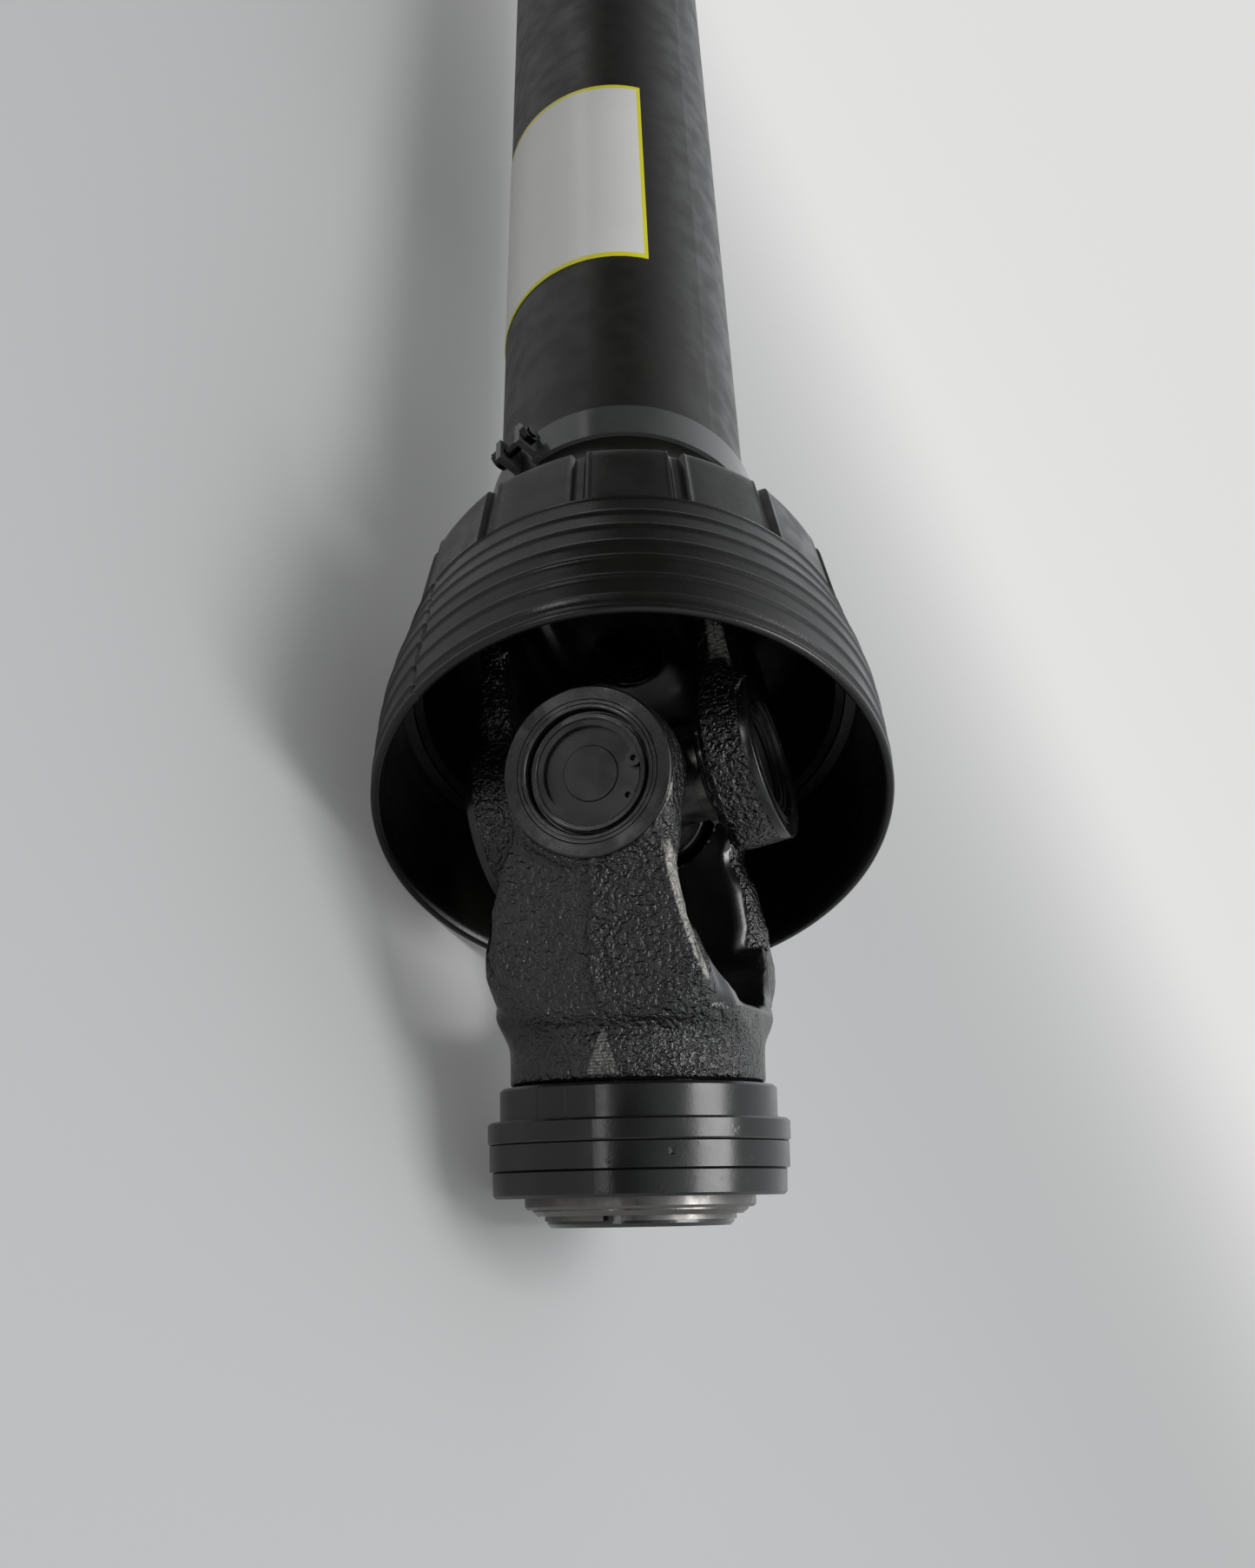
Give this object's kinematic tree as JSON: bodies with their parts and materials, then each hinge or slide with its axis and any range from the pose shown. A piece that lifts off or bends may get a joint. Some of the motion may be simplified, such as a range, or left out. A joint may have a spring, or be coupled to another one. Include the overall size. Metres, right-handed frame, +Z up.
{
  "type": "pto drive shaft",
  "caption": "Telescopic power take-off drive shaft with a universal joint and a quick-release splined yoke at each end, under a black plastic guard.",
  "frame": {"origin": "on the floor under the middle of the shaft's bounding box, as it lies on its two bells", "axes": "+X along the shaft towards the end with the outer guard tube, +Z up, +Y the way that end's yoke is bent"},
  "size_m": [1.0978, 0.1828, 0.154],
  "materials": {
    "forged_black": "rough satin black paint over forged steel",
    "machined_steel": "machined, lightly oiled",
    "bearing_steel": "ground and polished",
    "spring_steel": "oiled spring steel",
    "collar_plastic": "satin black nylon",
    "guard_plastic": "satin black polyethylene",
    "tube_plastic": "matt black polyethylene",
    "bearing_plastic": "natural nylon",
    "band_metal": "glossy dark coating",
    "seal_rubber": "nitrile rubber",
    "profile_steel": "drawn steel, greased",
    "label_film": "bare printed film with a yellow edge"
  },
  "bodies": {
    "outer_drive": {"inner_yoke_a": "forged_black", "spring_pin_a": "spring_steel", "outer_profile_tube": "profile_steel", "bearing_cup_inner_a1": "bearing_steel", "bearing_cup_inner_a2": "bearing_steel", "circlips_inner_a": "spring_steel"},
    "inner_drive": {"inner_yoke_b": "forged_black", "spring_pin_b": "spring_steel", "inner_profile_tube": "profile_steel", "bearing_cup_inner_b1": "bearing_steel", "bearing_cup_inner_b2": "bearing_steel", "circlips_inner_b": "spring_steel"},
    "guard_outer": {"outer_guard_tube": "tube_plastic", "guard_base_a": "guard_plastic", "guard_bell_a": "guard_plastic", "guard_bearing_a": "bearing_plastic", "retaining_band_a": "band_metal", "band_screw_a": "machined_steel", "label": "label_film"},
    "guard_inner": {"inner_guard_tube": "tube_plastic", "guard_base_b": "guard_plastic", "guard_bell_b": "guard_plastic", "guard_bearing_b": "bearing_plastic", "retaining_band_b": "band_metal", "band_screw_b": "machined_steel"},
    "joint_cross_a": {"cross_a": "machined_steel", "cross_seals_a": "seal_rubber", "grease_nipple_a": "machined_steel"},
    "joint_cross_b": {"cross_b": "machined_steel", "cross_seals_b": "seal_rubber", "grease_nipple_b": "machined_steel"},
    "yoke_a": {"end_yoke_a": "forged_black", "bearing_cup_end_a1": "bearing_steel", "bearing_cup_end_a2": "bearing_steel", "circlips_end_a": "spring_steel", "end_washer_a": "bearing_steel", "snap_ring_a": "spring_steel"},
    "collar_a": {"collar_sleeve_a": "machined_steel", "collar_shield_a": "collar_plastic", "collar_ring_a": "collar_plastic", "collar_grip_a": "collar_plastic", "collar_spring_a": "spring_steel"},
    "ball_a1": {"lock_ball_a1": "bearing_steel"},
    "ball_a2": {"lock_ball_a2": "bearing_steel"},
    "ball_a3": {"lock_ball_a3": "bearing_steel"},
    "yoke_b": {"end_yoke_b": "forged_black", "bearing_cup_end_b1": "bearing_steel", "bearing_cup_end_b2": "bearing_steel", "circlips_end_b": "spring_steel", "end_washer_b": "bearing_steel", "snap_ring_b": "spring_steel"},
    "collar_b": {"collar_sleeve_b": "machined_steel", "collar_shield_b": "collar_plastic", "collar_ring_b": "collar_plastic", "collar_grip_b": "collar_plastic", "collar_spring_b": "spring_steel"},
    "ball_b1": {"lock_ball_b1": "bearing_steel"},
    "ball_b2": {"lock_ball_b2": "bearing_steel"},
    "ball_b3": {"lock_ball_b3": "bearing_steel"}
  },
  "joints": [
    {"name": "telescope", "type": "slide", "parent": "outer_drive", "child": "inner_drive", "axis": [-1, 0, 0], "range_m": [0, 0.3]},
    {"name": "cross_turn_a", "type": "hinge", "parent": "outer_drive", "child": "joint_cross_a", "pos_m": [0.43, 0, 0.077], "axis": [0, 0.2164, 0.9763], "range_deg": [-67.79, 2.21]},
    {"name": "yoke_turn_a", "type": "hinge", "parent": "joint_cross_a", "child": "yoke_a", "pos_m": [0.43, 0, 0.077], "axis": [0.5416, -0.8207, 0.1819], "range_deg": [-16.97, 41.03]},
    {"name": "collar_slide_a", "type": "slide", "parent": "yoke_a", "child": "collar_a", "axis": [0.8221, 0.472, -0.3182], "range_m": [-0.006, 0], "stiffness_N_per_m": 2500, "springref_m": 0.008, "deforming": ["collar_spring_a"]},
    {"name": "ball_slide_a1", "type": "slide", "parent": "yoke_a", "child": "ball_a1", "axis": [0.5416, -0.8207, 0.1819], "range_m": [0, 0.0026]},
    {"name": "ball_slide_a2", "type": "slide", "parent": "yoke_a", "child": "ball_a2", "axis": [-0.4226, 0.1315, -0.8967], "range_m": [0, 0.0026]},
    {"name": "ball_slide_a3", "type": "slide", "parent": "yoke_a", "child": "ball_a3", "axis": [-0.119, 0.6891, 0.7148], "range_m": [0, 0.0026]},
    {"name": "guard_turn_a", "type": "hinge", "parent": "outer_drive", "child": "guard_outer", "pos_m": [0.43, 0, 0.077], "axis": [1, 0, 0], "continuous": true},
    {"name": "cross_turn_b", "type": "hinge", "parent": "inner_drive", "child": "joint_cross_b", "pos_m": [-0.43, 0, 0.077], "axis": [0, 0.2164, 0.9763], "range_deg": [-60.49, 9.51]},
    {"name": "yoke_turn_b", "type": "hinge", "parent": "joint_cross_b", "child": "yoke_b", "pos_m": [-0.43, 0, 0.077], "axis": [-0.4304, 0.8813, -0.1954], "range_deg": [-4.62, 53.38]},
    {"name": "collar_slide_b", "type": "slide", "parent": "yoke_b", "child": "collar_b", "axis": [-0.8221, -0.472, -0.3182], "range_m": [-0.006, 0], "stiffness_N_per_m": 2500, "springref_m": 0.008, "deforming": ["collar_spring_b"]},
    {"name": "ball_slide_b1", "type": "slide", "parent": "yoke_b", "child": "ball_b1", "axis": [-0.4304, 0.8813, -0.1954], "range_m": [0, 0.0026]},
    {"name": "ball_slide_b2", "type": "slide", "parent": "yoke_b", "child": "ball_b2", "axis": [0.5379, -0.4611, -0.7057], "range_m": [0, 0.0026]},
    {"name": "ball_slide_b3", "type": "slide", "parent": "yoke_b", "child": "ball_b3", "axis": [-0.1075, -0.4201, 0.9011], "range_m": [0, 0.0026]},
    {"name": "guard_turn_b", "type": "hinge", "parent": "inner_drive", "child": "guard_inner", "pos_m": [-0.43, 0, 0.077], "axis": [-1, 0, 0], "continuous": true}
  ],
  "couplings": [
    {"joint": "ball_slide_a1", "follows": "collar_slide_a", "ratio": -0.43333},
    {"joint": "ball_slide_a2", "follows": "collar_slide_a", "ratio": -0.43333},
    {"joint": "ball_slide_a3", "follows": "collar_slide_a", "ratio": -0.43333},
    {"joint": "ball_slide_b1", "follows": "collar_slide_b", "ratio": -0.43333},
    {"joint": "ball_slide_b2", "follows": "collar_slide_b", "ratio": -0.43333},
    {"joint": "ball_slide_b3", "follows": "collar_slide_b", "ratio": -0.43333}
  ]
}
